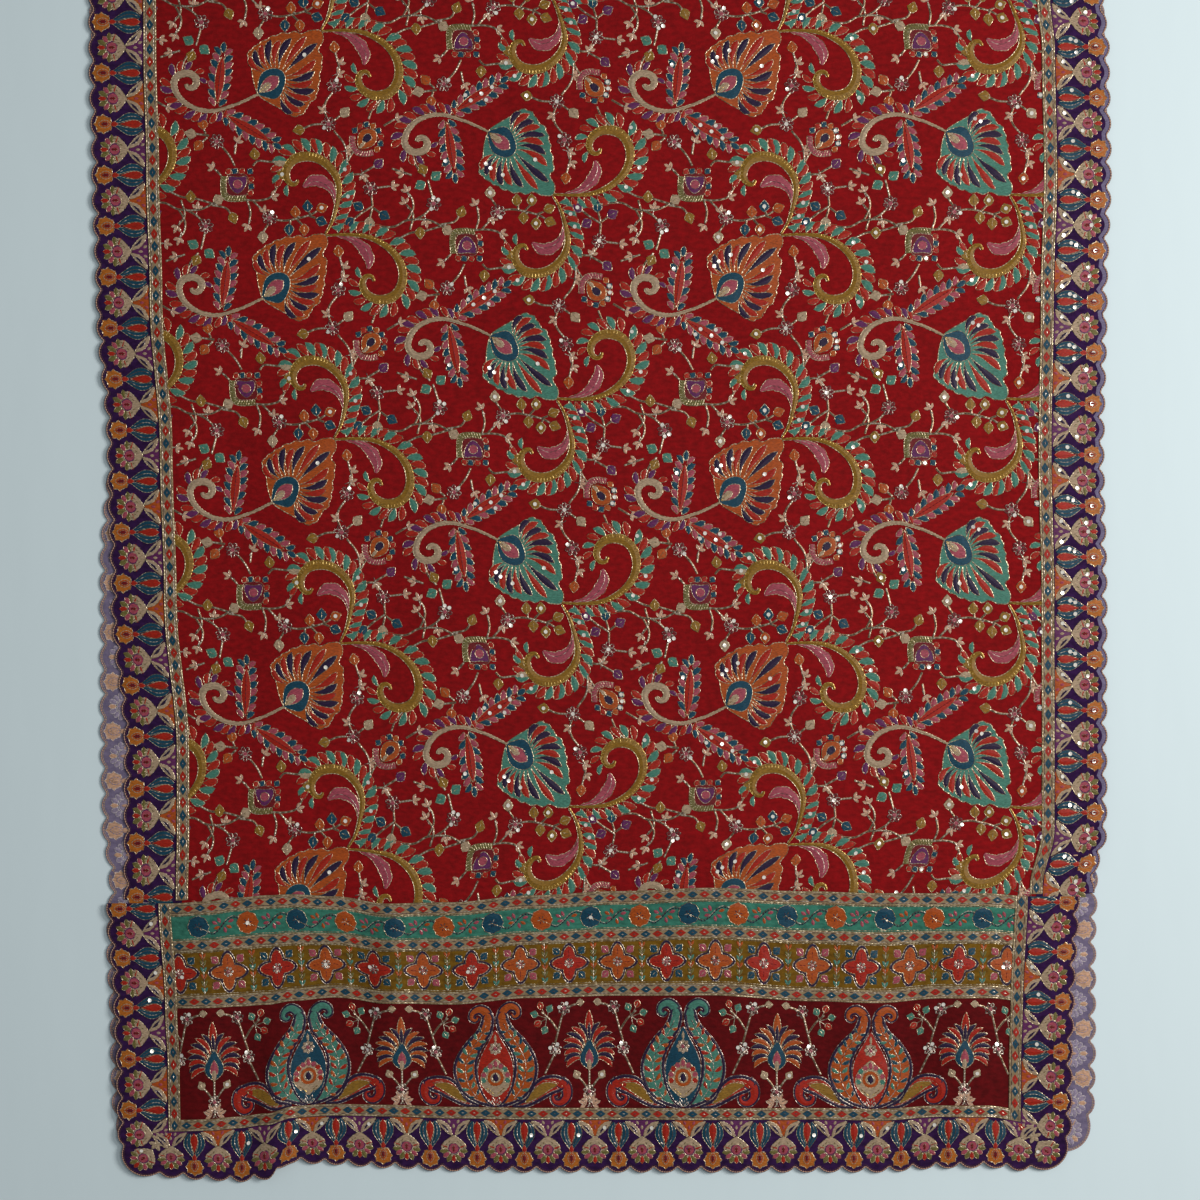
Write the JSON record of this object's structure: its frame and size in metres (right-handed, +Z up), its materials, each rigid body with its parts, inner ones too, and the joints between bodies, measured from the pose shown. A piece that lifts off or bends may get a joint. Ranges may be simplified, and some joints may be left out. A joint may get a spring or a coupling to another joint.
{
  "type": "embroidered dupatta, folded once and laid flat",
  "caption": "Red embroidered dupatta with scalloped purple borders, braid trims and a banded end panel, folded once across and laid flat.",
  "frame": {"origin": "middle of the laid cloth, on the surface under it", "axes": "+X across the cloth, +Y from the front hem towards the fold, +Z up, with the right side facing up"},
  "size_m": [0.9508, 1.241, 0.0103],
  "materials": {
    "crimson_crepe": "matt crinkled crepe with thread embroidery, zari outlines and sequins",
    "aubergine_crepe": "matt, with thread embroidery and sequins",
    "wrong_side": "matt, the paler wrong side",
    "sea_green_crepe": "matt, with thread embroidery and sequins",
    "mustard_crepe": "matt, with thread embroidery and sequins",
    "braid": "woven cream and metallic braid with red and blue diamonds"
  },
  "bodies": {
    "root": {"field_front": "crimson_crepe", "field_back": "crimson_crepe", "pallu_back": "crimson_crepe", "pallu_panel": "crimson_crepe", "pallu_mustard": "mustard_crepe", "pallu_green": "sea_green_crepe", "pallu_border": "aubergine_crepe", "border_left_front": "aubergine_crepe", "border_right_front": "aubergine_crepe", "pallu_border_back": "wrong_side", "border_left_back": "wrong_side", "border_right_back": "wrong_side", "braid_left_front": "braid", "braid_right_front": "braid", "braid_pallu_left": "braid", "braid_pallu_right": "braid", "braid_end": "braid", "braid_lower": "braid", "braid_upper": "braid", "braid_top": "braid"}
  },
  "joints": []
}
